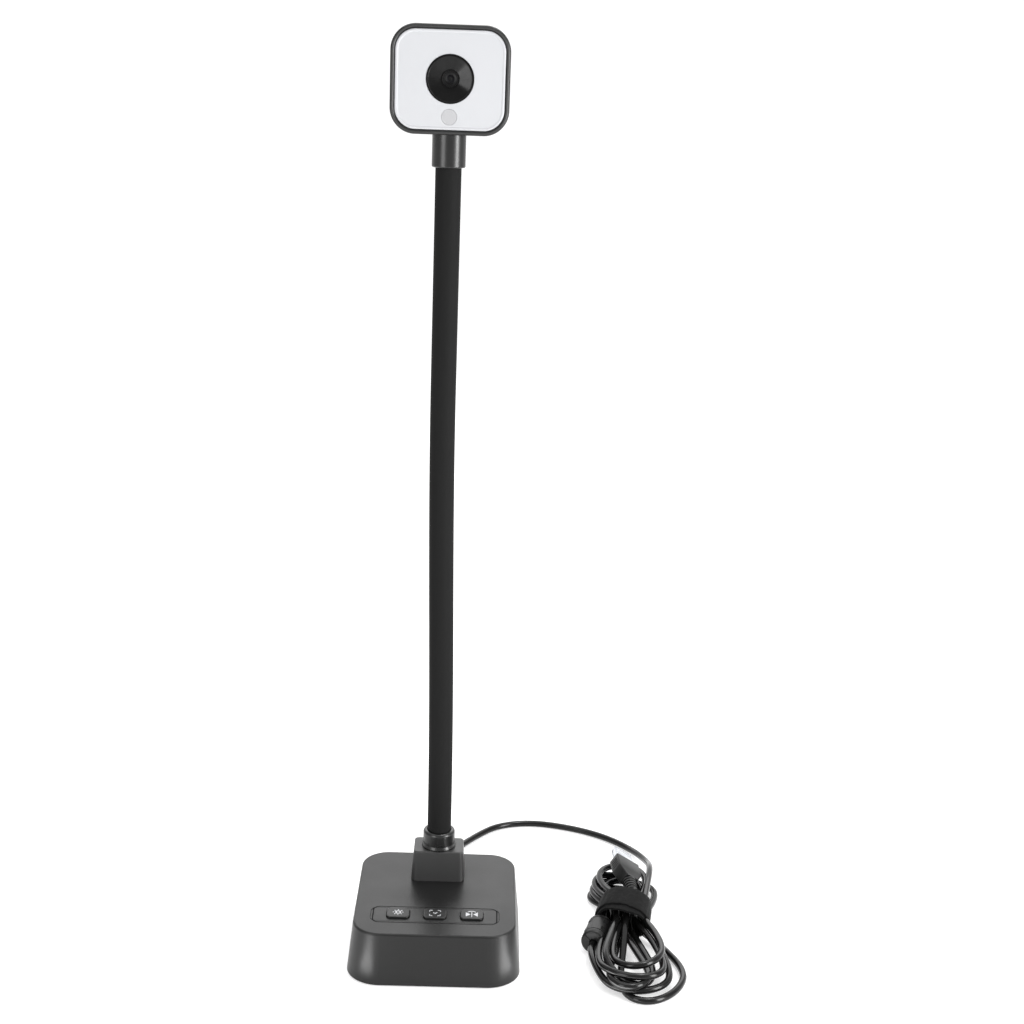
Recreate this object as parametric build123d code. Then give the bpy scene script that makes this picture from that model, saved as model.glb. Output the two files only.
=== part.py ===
from build123d import *
import math
import os

os.makedirs("parts", exist_ok=True)

# A document camera, in millimetres. Z is up, the lens and the buttons face -Y, and the origin is
# on the table under the middle of the base.

# ---------------------------------------------------------------- driving dimensions
BASE_WIDTH = 92.0
BASE_DEPTH = 98.4
BASE_CORNER = 18.0
BASE_TOP = 28.8
BASE_DRAFT = 6.1
BASE_EDGE = 1.3
WALL = 2.2
ROOF = 2.4
FOOT_LIFT = 0.8
PLATE_THICKNESS = 2.0
CLEARANCE = 0.25

FOOT_RADIUS = 5.5
FOOT_HEIGHT = 1.6
FOOT_PLACES = [(x, y) for x in (-31.0, 31.0) for y in (-35.0, 35.0)]

BOSS_RADIUS = 3.2
BOSS_PLACES = [(x, y) for x in (-37.0, 37.0) for y in (-14.0, 20.0)]
SCREW_SHANK = 1.25
SCREW_HEAD = 2.4
SCREW_HEAD_HEIGHT = 1.2
SCREW_LENGTH = 11.0

BALLAST_WIDTH = 66.0
BALLAST_DEPTH = 84.0
BALLAST_THICKNESS = 8.0

PANEL_WIDTH = 65.4
PANEL_DEPTH = 16.0
PANEL_CORNER = 3.2
PANEL_THICKNESS = 1.6
PANEL_Y = -25.3
RECESS_WIDTH = 68.0
RECESS_DEPTH = 15.0
RECESS_SINK = 0.2
BUTTON_WIDTH = 12.3
BUTTON_DEPTH = 9.8
BUTTON_CORNER = 2.4
BUTTON_RISE = 1.1
BUTTON_EDGE = 0.5
BUTTON_FLANGE = 0.7
BUTTON_FLANGE_HEIGHT = 1.1
BUTTON_PITCH = 19.6
BUTTON_Y = -24.8
BUTTON_TRAVEL = 0.5
BUTTON_NAMES = ("light_button", "focus_button", "mirror_button")
PLUNGER_RADIUS = 1.5

BOARD_WIDTH = 62.0
BOARD_DEPTH = 33.0
BOARD_BOTTOM = 16.0
BOARD_THICKNESS = 1.6
BOARD_POSTS = [(x, y) for x in (-27.0, 27.0) for y in (-36.5, -12.5)]
POST_RADIUS = 2.6
POST_PIN = 1.2
SWITCH_SIZE = 6.0
SWITCH_HEIGHT = 3.5
SWITCH_STEM = 1.7
SWITCH_STEM_HEIGHT = 0.7

NECK_Y = 22.4
PEDESTAL_WIDTH = 29.6
PEDESTAL_DEPTH = 20.6
PEDESTAL_TOP = 46.0
PEDESTAL_CORNER = 3.4
PEDESTAL_DRAFT = 3.9
PEDESTAL_WALL = 2.4
PEDESTAL_EDGE = 0.9

SOCKET_RADIUS = 8.8
SOCKET_TOP = 55.9
SOCKET_ROUND = 2.4
SOCKET_FOOT = 0.5

STUD_RADIUS = 5.0
STUD_BOTTOM = 19.4
NUT_ACROSS_FLATS = 16.0
NUT_THICKNESS = 5.0
TAIL_FLANGE = 6.2
TAIL_FLANGE_HEIGHT = 3.0
TOP_FLANGE = 6.6
TOP_FLANGE_HEIGHT = 2.0
WIRE_BORE = 3.0

SLEEVE_RADIUS = 6.55
SLEEVE_BORE = 5.25
CORE_RADIUS = 5.2
CORE_GROOVE = 0.45
CORE_PITCH = 3.2
COLLAR_BOTTOM = 416.1
HINGE_KINDS = "XXXYXXXYXXX"
END_GAP = 0.25
END_SLOPE = math.tan(math.radians(10.8))
BOW = 3.5
BOW_END = 306.0

COLLAR_RADIUS = 8.45
COLLAR_EDGE = 0.8
HEAD_WIDTH = 58.5
HEAD_HEIGHT = 52.1
HEAD_THICKNESS = 18.0
HEAD_CORNER = 12.5
HEAD_RIM = 2.35
HEAD_SPLIT = 6.5
HEAD_WALL = 2.0
HEAD_BACK_EDGE = 3.0
LIGHT_PANEL_THICKNESS = 1.8
LIGHT_PANEL_PROUD = 0.3
LENS_RISE = 0.5
LENS_RADIUS = 11.7
LENS_RIM = 1.0
LENS_CONE_RADIUS = 4.4
LENS_CONE_DEPTH = 5.0
LENS_PROUD = 0.55
BARREL_RADIUS = 3.9
BARREL_LENGTH = 9.0
BARREL_FIT = 0.06
GLASS_RADIUS = 3.1
GLASS_THICKNESS = 1.4
GLASS_DOME = 7.0
WINDOW_RADIUS = 3.75
WINDOW_DROP = 18.0
LED_BOARD_THICKNESS = 1.2
LED_BOARD_DEPTH = 5.4
LED_SIZE = (3.0, 0.7, 2.8)
SENSOR_BOARD_WIDTH = 24.0
SENSOR_BOARD_DEPTH = 13.2
HEAD_SCREWS = [(x, z) for x in (-22.0, 22.0) for z in (-18.5, 18.5)]

CORD_RADIUS = 1.9
RELIEF_HEIGHT = 8.0
RELIEF_LENGTH = 14.0
RELIEF_RADII = (4.0, 2.9)
RELIEF_NECK = 3.2

HANK_WAIST = (106.0, 17.5)
HANK_TURN = -15.0
STRAP_WIDTH = 18.0
STRAP_THICKNESS = 1.6
STRAP_SPAN = 29.0
STRAP_TOP = 20.6
STRAP_CORNER = 7.0
WAIST_LINK = 8.0
LOBE_HEIGHTS = (11.4, 16.6)
LOBE_EDGE = 3.0

FERRITE_RADIUS = 7.0
FERRITE_LENGTH = 20.0
FERRITE_CENTRE = (88.9, -2.2)
FERRITE_TURN = -16.0
FERRITE_EDGE = 1.0

PLUG_CENTRE = (110.3, 30.4, 15.4)
PLUG_TURN = 4.3
PLUG_RISE = 3.0
PLUG_ROLL = 32.4
PLUG_AIR = 0.4
PLUG_RELIEF = 12.0
PLUG_RELIEF_RADII = (3.3, 4.0)
PLUG_SHOULDER = (8.4, 7.2, 6.9)
PLUG_BODY = (15.8, 12.0, 7.9)
PLUG_CORNER = 1.0
SHELL_OUTER = (12.0, 12.0, 4.5)
SHELL_WALL = 0.35

# ---------------------------------------------------------------- worked out from them
BASE_BOTTOM = FOOT_LIFT
PLATE_TOP = BASE_BOTTOM + PLATE_THICKNESS
ROOF_BOTTOM = BASE_TOP - ROOF
BOARD_TOP = BOARD_BOTTOM + BOARD_THICKNESS
SWITCH_TOP = BOARD_TOP + SWITCH_HEIGHT + SWITCH_STEM_HEIGHT
BUTTON_PLACES = [(BUTTON_PITCH * step, BUTTON_Y) for step in (-1, 0, 1)]
HINGE_PITCH = (COLLAR_BOTTOM - SOCKET_TOP) / len(HINGE_KINDS)
HINGE_HEIGHTS = [SOCKET_TOP + HINGE_PITCH * (step + 0.5) for step in range(len(HINGE_KINDS))]
HEAD_BOTTOM = COLLAR_BOTTOM + 16.0
HEAD_CENTRE_Z = HEAD_BOTTOM + HEAD_HEIGHT / 2
HEAD_FRONT = NECK_Y - HEAD_THICKNESS / 2
LENS_Z = HEAD_CENTRE_Z + LENS_RISE


# ---------------------------------------------------------------- helpers
def drafted_block(width, depth, corner, bottom, top, draft):
    """A rounded rectangle, drawn at the bottom and drafted inwards up to the top."""
    outline = Pos(0, 0, bottom) * RectangleRounded(width, depth, corner)
    return extrude(outline, amount=top - bottom, taper=draft)


def rounded_block(width, depth, corner, bottom, top):
    outline = Pos(0, 0, bottom) * RectangleRounded(width, depth, corner)
    return extrude(outline, amount=top - bottom)


def rod(radius, bottom, top, x=0.0, y=0.0):
    place = Pos(x, y, (bottom + top) / 2)
    return place * Cylinder(radius, top - bottom)


def turned(profile):
    """A solid turned about Z from (radius, height) points."""
    outline = Plane.XZ * make_face(Polyline(*profile, close=True))
    return revolve(outline, Axis.Z)


def bow(height):
    """How far the neck stands off to -X at a height: an easy S that ends upright."""
    share = min(max((height - SOCKET_TOP) / (BOW_END - SOCKET_TOP), 0.0), 1.0)
    return -BOW * (1 - math.cos(math.pi * share)) / 2


def neck_place(height):
    """Where the neck's centre line is at a height, turned along it."""
    reach = 1.0
    lean = math.degrees(math.atan2(bow(height + reach) - bow(height - reach), 2 * reach))
    return Pos(bow(height), NECK_Y, height) * Rot(0, lean, 0)


def facing_front(x, z, depth):
    """A place on the head, its Z axis pointing backwards, depth behind the front face."""
    return Pos(-BOW + x, HEAD_FRONT + depth, z) * Rot(-90, 0, 0)


def head_block(width, height, corner, front, back):
    """A rounded plate of the head between two depths behind its front face."""
    outline = RectangleRounded(width, height, corner)
    return facing_front(0, HEAD_CENTRE_Z, front) * extrude(outline, amount=back - front)


def head_turned(x, z, profile):
    """A piece of the head turned about the front-to-back axis from (radius, depth) points."""
    return facing_front(x, z, 0) * turned(profile)


def save(name, *solids):
    shape = solids[0] if len(solids) == 1 else Compound(children=list(solids))
    shape.label = name
    export_step(shape, f"parts/{name}.step")


# ---------------------------------------------------------------- base
def make_base_shell():
    shell = drafted_block(BASE_WIDTH, BASE_DEPTH, BASE_CORNER, BASE_BOTTOM, BASE_TOP, BASE_DRAFT)
    shell = fillet(shell.faces().sort_by(Axis.Z)[-1].edges(), BASE_EDGE)
    shell -= drafted_block(
        BASE_WIDTH - 2 * WALL,
        BASE_DEPTH - 2 * WALL,
        BASE_CORNER - WALL,
        BASE_BOTTOM,
        ROOF_BOTTOM,
        BASE_DRAFT,
    )
    for x, y in BOSS_PLACES:
        shell += rod(BOSS_RADIUS, PLATE_TOP, ROOF_BOTTOM, x, y)
        shell -= rod(SCREW_SHANK + 0.05, PLATE_TOP, PLATE_TOP + SCREW_LENGTH, x, y)
    rebate = rounded_block(
        PANEL_WIDTH + 2 * CLEARANCE,
        PANEL_DEPTH + 2 * CLEARANCE,
        PANEL_CORNER + CLEARANCE,
        BASE_TOP - PANEL_THICKNESS,
        BASE_TOP,
    )
    recess = rounded_block(RECESS_WIDTH, RECESS_DEPTH, PANEL_CORNER, BASE_TOP - RECESS_SINK, BASE_TOP)
    shell -= Pos(0, PANEL_Y, 0) * (rebate + recess)
    for x, y in BUTTON_PLACES:
        window = rounded_block(
            BUTTON_WIDTH + 2 * BUTTON_FLANGE + 2 * CLEARANCE,
            BUTTON_DEPTH + 2 * BUTTON_FLANGE + 2 * CLEARANCE,
            BUTTON_CORNER,
            ROOF_BOTTOM,
            BASE_TOP,
        )
        shell -= Pos(x, y, 0) * window
    shell -= rod(STUD_RADIUS + 0.2, ROOF_BOTTOM, BASE_TOP, 0, NECK_Y)
    shell -= relief_hole()
    return shell


def make_bottom_plate():
    inset = WALL + CLEARANCE + PLATE_THICKNESS * math.tan(math.radians(BASE_DRAFT))
    plate = rounded_block(
        BASE_WIDTH - 2 * inset, BASE_DEPTH - 2 * inset, BASE_CORNER - inset, BASE_BOTTOM, PLATE_TOP
    )
    for x, y in FOOT_PLACES:
        plate -= rod(FOOT_RADIUS + 0.1, BASE_BOTTOM, FOOT_HEIGHT, x, y)
    for x, y in BOSS_PLACES:
        plate -= rod(SCREW_HEAD + 0.2, BASE_BOTTOM, BASE_BOTTOM + SCREW_HEAD_HEIGHT, x, y)
        plate -= rod(SCREW_SHANK + 0.15, BASE_BOTTOM, PLATE_TOP, x, y)
    for x, y in BOARD_POSTS:
        plate += rod(POST_RADIUS, PLATE_TOP, BOARD_BOTTOM, x, y)
        plate += rod(POST_PIN, BOARD_BOTTOM, BOARD_TOP + 0.4, x, y)
    return plate


def make_rubber_feet():
    feet = []
    for x, y in FOOT_PLACES:
        foot = rod(FOOT_RADIUS, 0, FOOT_HEIGHT, x, y)
        feet.append(chamfer(foot.faces().sort_by(Axis.Z)[0].edges(), 0.4))
    return feet


def make_base_screws():
    screws = []
    for x, y in BOSS_PLACES:
        top = BASE_BOTTOM + SCREW_HEAD_HEIGHT
        screw = rod(SCREW_HEAD, BASE_BOTTOM + 0.1, top, x, y)
        screw += rod(SCREW_SHANK, top, PLATE_TOP + SCREW_LENGTH - 0.5, x, y)
        screw -= Pos(x, y, BASE_BOTTOM + 0.4) * Box(3.0, 0.6, 0.8)
        screw -= Pos(x, y, BASE_BOTTOM + 0.4) * Box(0.6, 3.0, 0.8)
        screws.append(screw)
    return screws


def make_ballast():
    bar = rounded_block(BALLAST_WIDTH, BALLAST_DEPTH, 10.0, PLATE_TOP, PLATE_TOP + BALLAST_THICKNESS)
    for x, y in BOARD_POSTS:
        bar -= rod(POST_RADIUS + 0.4, PLATE_TOP, PLATE_TOP + BALLAST_THICKNESS, x, y)
    return bar


def make_button_board():
    middle = sum(y for _, y in BOARD_POSTS) / len(BOARD_POSTS)
    board = Pos(0, middle, 0) * rounded_block(BOARD_WIDTH, BOARD_DEPTH, 2.0, BOARD_BOTTOM, BOARD_TOP)
    for x, y in BOARD_POSTS:
        board -= rod(POST_PIN + 0.1, BOARD_BOTTOM, BOARD_TOP, x, y)
    return board


def make_switches():
    switches = []
    for x, y in BUTTON_PLACES:
        body = Pos(x, y, BOARD_TOP + SWITCH_HEIGHT / 2) * Box(SWITCH_SIZE, SWITCH_SIZE, SWITCH_HEIGHT)
        switches.append(body + rod(SWITCH_STEM, BOARD_TOP + SWITCH_HEIGHT, SWITCH_TOP, x, y))
    return switches


def make_button_panel():
    low = BASE_TOP - PANEL_THICKNESS
    panel = Pos(0, PANEL_Y, 0) * rounded_block(PANEL_WIDTH, PANEL_DEPTH, PANEL_CORNER, low, BASE_TOP)
    for x, y in BUTTON_PLACES:
        hole = rounded_block(
            BUTTON_WIDTH + 2 * CLEARANCE,
            BUTTON_DEPTH + 2 * CLEARANCE,
            BUTTON_CORNER + CLEARANCE,
            low,
            BASE_TOP,
        )
        panel -= Pos(x, y, 0) * hole
    return panel


def make_button():
    """One button at the origin: cap, holding flange and plunger."""
    top = BASE_TOP + BUTTON_RISE
    flange_top = BASE_TOP - PANEL_THICKNESS - 0.1
    flange_bottom = flange_top - BUTTON_FLANGE_HEIGHT
    cap = rounded_block(BUTTON_WIDTH, BUTTON_DEPTH, BUTTON_CORNER, flange_bottom, top)
    cap = fillet(cap.faces().sort_by(Axis.Z)[-1].edges(), BUTTON_EDGE)
    cap += rounded_block(
        BUTTON_WIDTH + 2 * BUTTON_FLANGE - 0.2,
        BUTTON_DEPTH + 2 * BUTTON_FLANGE - 0.2,
        BUTTON_CORNER,
        flange_bottom,
        flange_top,
    )
    return cap + rod(PLUNGER_RADIUS, SWITCH_TOP + BUTTON_TRAVEL + 0.1, flange_bottom)


# ---------------------------------------------------------------- pedestal and neck foot
def make_pedestal():
    outer = drafted_block(
        PEDESTAL_WIDTH, PEDESTAL_DEPTH, PEDESTAL_CORNER, BASE_TOP, PEDESTAL_TOP, PEDESTAL_DRAFT
    )
    outer = fillet(outer.faces().sort_by(Axis.Z)[-1].edges(), PEDESTAL_EDGE)
    outer -= drafted_block(
        PEDESTAL_WIDTH - 2 * PEDESTAL_WALL,
        PEDESTAL_DEPTH - 2 * PEDESTAL_WALL,
        1.4,
        BASE_TOP,
        PEDESTAL_TOP - PEDESTAL_WALL,
        PEDESTAL_DRAFT,
    )
    outer -= rod(STUD_RADIUS + 0.2, BASE_TOP, PEDESTAL_TOP)
    return Pos(0, NECK_Y, 0) * outer


def make_neck_socket():
    mouth = SLEEVE_RADIUS + 0.3
    foot = SOCKET_RADIUS + SOCKET_FOOT
    ring = turned(
        [
            (TAIL_FLANGE + 0.1, PEDESTAL_TOP),
            (foot, PEDESTAL_TOP),
            (foot, PEDESTAL_TOP + 0.8),
            (SOCKET_RADIUS, PEDESTAL_TOP + 2.2),
            (SOCKET_RADIUS, SOCKET_TOP),
            (mouth, SOCKET_TOP),
            (mouth, PEDESTAL_TOP + TAIL_FLANGE_HEIGHT),
            (TAIL_FLANGE + 0.1, PEDESTAL_TOP + TAIL_FLANGE_HEIGHT),
        ]
    )
    shoulder = ring.edges().filter_by(GeomType.CIRCLE).group_by(Axis.Z)[-1].sort_by(SortBy.RADIUS)[-1]
    ring = fillet(shoulder, min(SOCKET_ROUND, SOCKET_RADIUS - mouth - 0.3))
    return Pos(0, NECK_Y, 0) * ring


def make_neck_nut():
    face = RegularPolygon(NUT_ACROSS_FLATS / 2, 6, major_radius=False)
    nut = extrude(Pos(0, 0, ROOF_BOTTOM - NUT_THICKNESS) * face, amount=NUT_THICKNESS)
    nut -= rod(STUD_RADIUS + 0.05, ROOF_BOTTOM - NUT_THICKNESS, ROOF_BOTTOM)
    return Pos(0, NECK_Y, 0) * nut


# ---------------------------------------------------------------- gooseneck
def relieved_tube(inner, outer, bottom, top, relieve_bottom=True, relieve_top=True):
    """A tube whose ends slope away, so that it can tilt against its neighbours."""

    def low(radius):
        return bottom + (END_GAP + radius * END_SLOPE if relieve_bottom else 0.0)

    def high(radius):
        return top - (END_GAP + radius * END_SLOPE if relieve_top else 0.0)

    return turned(
        [(inner, low(inner)), (outer, low(outer)), (outer, high(outer)), (inner, high(inner))]
    )


def grooved_core(bottom, top, relieve_bottom=True, relieve_top=True):
    """The interlocked steel tube: a relieved tube with a groove between its rings."""
    core = relieved_tube(WIRE_BORE, CORE_RADIUS, bottom, top, relieve_bottom, relieve_top)
    margin = END_GAP + CORE_RADIUS * END_SLOPE + CORE_PITCH / 2
    count = int((top - bottom - 2 * margin) / CORE_PITCH) + 1
    start = (bottom + top - (count - 1) * CORE_PITCH) / 2
    for step in range(count):
        middle = start + step * CORE_PITCH
        core -= turned(
            [
                (CORE_RADIUS - CORE_GROOVE, middle),
                (CORE_RADIUS + 0.1, middle - CORE_GROOVE),
                (CORE_RADIUS + 0.1, middle + CORE_GROOVE),
            ]
        )
    return core


def make_neck_section():
    """One free section, upright, with its middle at the origin."""
    half = HINGE_PITCH / 2
    sleeve = relieved_tube(SLEEVE_BORE, SLEEVE_RADIUS, -half, half)
    core = grooved_core(-half, half)
    return sleeve, core


def make_neck_tail():
    """The lower end of the core, with its flange and the threaded stud below it."""
    flange_top = PEDESTAL_TOP + TAIL_FLANGE_HEIGHT
    tail = grooved_core(flange_top, HINGE_HEIGHTS[0], relieve_bottom=False)
    tail += rod(TAIL_FLANGE, PEDESTAL_TOP, flange_top) - rod(WIRE_BORE, PEDESTAL_TOP, flange_top)
    tail += rod(STUD_RADIUS, STUD_BOTTOM, PEDESTAL_TOP) - rod(WIRE_BORE, STUD_BOTTOM, PEDESTAL_TOP)
    return Pos(0, NECK_Y, 0) * tail


def make_neck_bottom_sleeve():
    start = PEDESTAL_TOP + TAIL_FLANGE_HEIGHT
    sleeve = relieved_tube(
        SLEEVE_BORE, SLEEVE_RADIUS, start, HINGE_HEIGHTS[0], relieve_bottom=False
    )
    return Pos(0, NECK_Y, 0) * sleeve


def make_neck_top():
    """The upper end of the core, with the flange that the head holds, and its sleeve."""
    last = HINGE_HEIGHTS[-1]
    end = COLLAR_BOTTOM + 4.0
    low = HEAD_BOTTOM + HEAD_RIM + 0.05
    high = low + TOP_FLANGE_HEIGHT
    core = grooved_core(last, end, relieve_top=False)
    core += rod(CORE_RADIUS, end, low) - rod(WIRE_BORE, end, low)
    core += rod(TOP_FLANGE, low, high) - rod(WIRE_BORE, low, high)
    sleeve = relieved_tube(SLEEVE_BORE, SLEEVE_RADIUS, last, end, relieve_top=False)
    place = Pos(-BOW, NECK_Y, 0)
    return place * sleeve, place * core


# ---------------------------------------------------------------- head
def make_collar():
    end = COLLAR_BOTTOM + 4.0
    ring = rod(COLLAR_RADIUS, COLLAR_BOTTOM, HEAD_BOTTOM)
    ring = fillet(ring.faces().sort_by(Axis.Z)[0].edges(), COLLAR_EDGE)
    ring -= rod(SLEEVE_RADIUS + 0.2, COLLAR_BOTTOM, end)
    ring -= rod(CORE_RADIUS + 0.05, end, HEAD_BOTTOM)
    return Pos(-BOW, NECK_Y, 0) * ring


def neck_hole():
    """The hole under the head that the neck's upper end comes in through."""
    return Pos(-BOW, NECK_Y, 0) * rod(CORE_RADIUS + 0.05, HEAD_BOTTOM, HEAD_BOTTOM + HEAD_RIM)


def make_head_front():
    """The dark frame: the front of the housing, open behind, with a wide mouth."""
    frame = head_block(HEAD_WIDTH, HEAD_HEIGHT, HEAD_CORNER, 0, HEAD_SPLIT)
    frame = fillet(frame.faces().sort_by(Axis.Y)[0].edges(), 0.7)
    frame -= head_block(
        HEAD_WIDTH - 2 * HEAD_RIM,
        HEAD_HEIGHT - 2 * HEAD_RIM,
        HEAD_CORNER - HEAD_RIM,
        0,
        HEAD_SPLIT,
    )
    return frame - neck_hole()


def make_head_rear():
    """The rear cover: a rounded tray that closes the head behind the frame."""
    cover = head_block(HEAD_WIDTH, HEAD_HEIGHT, HEAD_CORNER, HEAD_SPLIT + 0.1, HEAD_THICKNESS)
    cover = fillet(cover.faces().sort_by(Axis.Y)[-1].edges(), HEAD_BACK_EDGE)
    cover -= head_block(
        HEAD_WIDTH - 2 * HEAD_WALL,
        HEAD_HEIGHT - 2 * HEAD_WALL,
        HEAD_CORNER - HEAD_WALL,
        HEAD_SPLIT + 0.1,
        HEAD_THICKNESS - HEAD_WALL,
    )
    for x, z in HEAD_SCREWS:
        place = facing_front(x, HEAD_CENTRE_Z + z, HEAD_THICKNESS - HEAD_WALL / 2)
        cover -= place * Cylinder(1.6, HEAD_WALL)
    return cover - neck_hole()


def make_head_screws():
    screws = []
    for x, z in HEAD_SCREWS:
        depth = HEAD_THICKNESS - 1.0
        start = LED_BOARD_DEPTH + LED_BOARD_THICKNESS + 0.2
        shank = facing_front(x, HEAD_CENTRE_Z + z, (start + depth) / 2) * Cylinder(
            0.9, depth - start
        )
        head = facing_front(x, HEAD_CENTRE_Z + z, depth - 0.3) * Cylinder(1.5, 1.0)
        slot = facing_front(x, HEAD_CENTRE_Z + z, depth) * Box(2.0, 0.5, 0.6)
        screws.append(shank + head - slot)
    return screws


def make_light_panel():
    gap = 0.1
    panel = head_block(
        HEAD_WIDTH - 2 * HEAD_RIM - 2 * gap,
        HEAD_HEIGHT - 2 * HEAD_RIM - 2 * gap,
        HEAD_CORNER - HEAD_RIM - gap,
        -LIGHT_PANEL_PROUD,
        LIGHT_PANEL_THICKNESS,
    )
    panel = chamfer(panel.faces().sort_by(Axis.Y)[0].edges(), 0.5)
    for x, z, radius in (
        (0, LENS_Z, LENS_RADIUS + gap),
        (0, LENS_Z - WINDOW_DROP, WINDOW_RADIUS + gap),
    ):
        middle = (LIGHT_PANEL_THICKNESS - LIGHT_PANEL_PROUD) / 2
        depth = LIGHT_PANEL_THICKNESS + LIGHT_PANEL_PROUD
        panel -= facing_front(x, z, middle) * Cylinder(radius, depth)
    return panel


def make_light_board():
    board = head_block(
        HEAD_WIDTH - 2 * HEAD_RIM - 1.0,
        HEAD_HEIGHT - 2 * HEAD_RIM - 1.0,
        HEAD_CORNER - HEAD_RIM - 0.5,
        LED_BOARD_DEPTH,
        LED_BOARD_DEPTH + LED_BOARD_THICKNESS,
    )
    middle = LED_BOARD_DEPTH + LED_BOARD_THICKNESS / 2
    board -= facing_front(0, LENS_Z, middle) * Cylinder(LENS_RADIUS + 0.3, LED_BOARD_THICKNESS)
    notch = Box(2 * TOP_FLANGE + 1.0, 2 * (HEAD_RIM + TOP_FLANGE_HEIGHT + 0.3), LED_BOARD_THICKNESS)
    return board - facing_front(0, HEAD_BOTTOM, middle) * notch


def make_leds():
    """LEDs round the lens: two rows above and below it and one column on each side."""
    spots = [(x, z) for x in (-18, -6, 6, 18) for z in (-18.5, 18.5)]
    spots += [(x, z) for x in (-20, 20) for z in (-6, 6)]
    leds = []
    for x, z in spots:
        if abs(x) < 7 and z < 0:
            continue
        middle = HEAD_FRONT + LED_BOARD_DEPTH - LED_SIZE[1] / 2
        leds.append(Pos(-BOW + x, middle, HEAD_CENTRE_Z + z) * Box(*LED_SIZE))
    return leds


def make_sensor_window():
    return head_turned(
        0,
        LENS_Z - WINDOW_DROP,
        [
            (0, -LIGHT_PANEL_PROUD),
            (WINDOW_RADIUS, -LIGHT_PANEL_PROUD),
            (WINDOW_RADIUS, LED_BOARD_DEPTH - 0.1),
            (0, LED_BOARD_DEPTH - 0.1),
        ],
    )


def make_lens_ring():
    """The lens surround: a thin rim, then a cone that narrows back to the barrel."""
    bore = BARREL_RADIUS + BARREL_FIT
    depth = LED_BOARD_DEPTH + LED_BOARD_THICKNESS
    return head_turned(
        0,
        LENS_Z,
        [
            (LENS_RADIUS - 0.2, -LENS_PROUD),
            (LENS_RADIUS, -LENS_PROUD + 0.2),
            (LENS_RADIUS, depth),
            (bore, depth),
            (bore, LENS_CONE_DEPTH),
            (LENS_CONE_RADIUS, LENS_CONE_DEPTH),
            (LENS_RADIUS - LENS_RIM, -LENS_PROUD + 0.3),
            (LENS_RADIUS - LENS_RIM + 0.3, -LENS_PROUD),
        ],
    )


def make_lens_barrel():
    """The focusing barrel, with a seat for the front glass and a stepped mouth."""
    front = LENS_CONE_DEPTH - 0.9
    return head_turned(
        0,
        LENS_Z,
        [
            (GLASS_RADIUS, front),
            (BARREL_RADIUS, front),
            (BARREL_RADIUS, front + BARREL_LENGTH - 2.0),
            (2.0, front + BARREL_LENGTH - 2.0),
            (2.0, front + 1.6),
            (GLASS_RADIUS, front + 1.6),
        ],
    )


def make_lens_glass():
    """The front glass: a shallow dome with a flat back, seated in the barrel."""
    back = LENS_CONE_DEPTH - 0.9 + 1.55
    disc = facing_front(0, LENS_Z, back - GLASS_THICKNESS / 2)
    disc *= Cylinder(GLASS_RADIUS - 0.02, GLASS_THICKNESS)
    dome = facing_front(0, LENS_Z, back - GLASS_THICKNESS + GLASS_DOME) * Sphere(GLASS_DOME)
    return disc & dome


def make_lens_holder():
    """The square block on the sensor board that the barrel slides in."""
    front = LED_BOARD_DEPTH + LED_BOARD_THICKNESS + 0.3
    back = SENSOR_BOARD_DEPTH
    block = head_block(13.0, 13.0, 1.0, front, back)
    block = Pos(0, 0, LENS_RISE) * block
    bore = facing_front(0, LENS_Z, (front + back) / 2)
    block -= bore * Cylinder(BARREL_RADIUS + BARREL_FIT, back - front)
    return block


def make_sensor_board():
    half = SENSOR_BOARD_WIDTH
    board = head_block(half, half, 1.5, SENSOR_BOARD_DEPTH, SENSOR_BOARD_DEPTH + 1.2)
    return Pos(0, 0, LENS_RISE) * board


# ---------------------------------------------------------------- cord
def relief_hole():
    middle = BASE_DEPTH / 2 - WALL
    return Pos(0, middle, RELIEF_HEIGHT) * Rot(90, 0, 0) * Cylinder(RELIEF_NECK + 0.1, 12.0)


def make_strain_relief():
    """A tapered boot outside the wall, a neck through it and a flange inside it."""
    outside = BASE_DEPTH / 2 - (RELIEF_HEIGHT - BASE_BOTTOM) * math.tan(math.radians(BASE_DRAFT))
    start = outside + 0.6
    end = BASE_DEPTH / 2 + RELIEF_LENGTH
    inner = outside - WALL - 0.7
    thick, thin = RELIEF_RADII
    rib = (end - start - 3.0) / 4
    profile = [(0, inner - 1.5), (thick + 0.6, inner - 1.5), (thick + 0.6, inner), (RELIEF_NECK, inner)]
    profile += [(RELIEF_NECK, start), (thick + 0.8, start), (thick + 0.8, start + 1.2)]
    for step in range(4):
        here = start + 1.6 + step * rib
        radius = thick - (thick - thin) * step / 4
        profile += [(radius - 0.5, here), (radius, here + 0.5), (radius, here + rib - 0.7)]
    profile += [(thin, end), (0, end)]
    return Pos(0, 0, RELIEF_HEIGHT) * Rot(-90, 0, 0) * turned(profile)


# The cord's route from the strain relief to the hank, by its corners.
CORD_ROUTE = [
    (0.0, BASE_DEPTH / 2 + RELIEF_LENGTH, RELIEF_HEIGHT),
    (0.3, 73.5, 7.3),
    (3.0, 88.0, 4.2),
    (9.0, 104.0, 2.1),
    (20.0, 120.5, 2.0),
    (34.0, 136.6, 2.1),
    (56.0, 142.3, 2.0),
    (80.0, 136.3, 2.1),
    (101.5, 125.2, 2.0),
    (118.0, 107.5, 2.1),
    (124.6, 84.0, 6.6),
    (123.8, 64.0, 13.4),
    (120.6, 45.0, 14.6),
    (116.9, 24.4, 14.3),
]


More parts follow.
